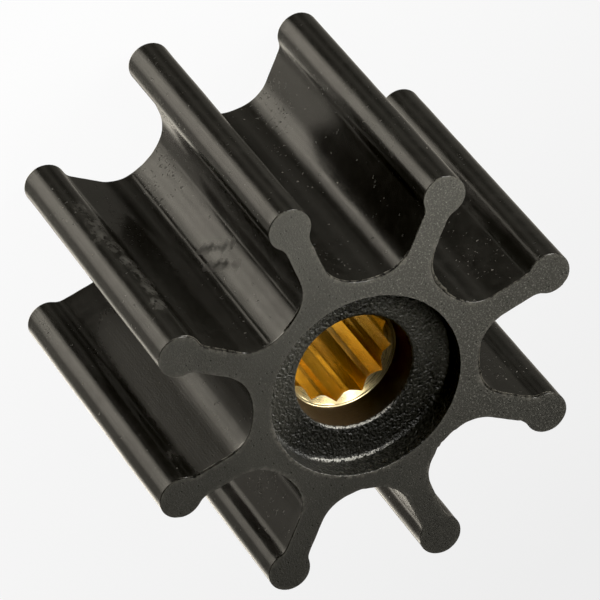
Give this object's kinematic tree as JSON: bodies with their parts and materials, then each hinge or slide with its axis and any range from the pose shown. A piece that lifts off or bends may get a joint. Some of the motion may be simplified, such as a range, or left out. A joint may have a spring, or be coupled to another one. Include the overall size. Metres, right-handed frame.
{
  "type": "flexible pump impeller",
  "caption": "Flexible rubber pump impeller: straight bulb-tipped vanes round a hub with a recess in each end and a bonded brass bush with an internally splined bore.",
  "frame": {"origin": "centre of the lower end face, on the spin axis", "axes": "+Z along the spin axis towards the upper end face, +X through the middle of one vane"},
  "size_m": [0.065, 0.065, 0.05],
  "materials": {
    "rubber": "matte black moulded rubber, ground end faces, satin moulded flanks",
    "brass": "machined brass, unpolished"
  },
  "bodies": {
    "root": {"rubber_body": "rubber", "splined_bush": "brass"}
  },
  "joints": []
}
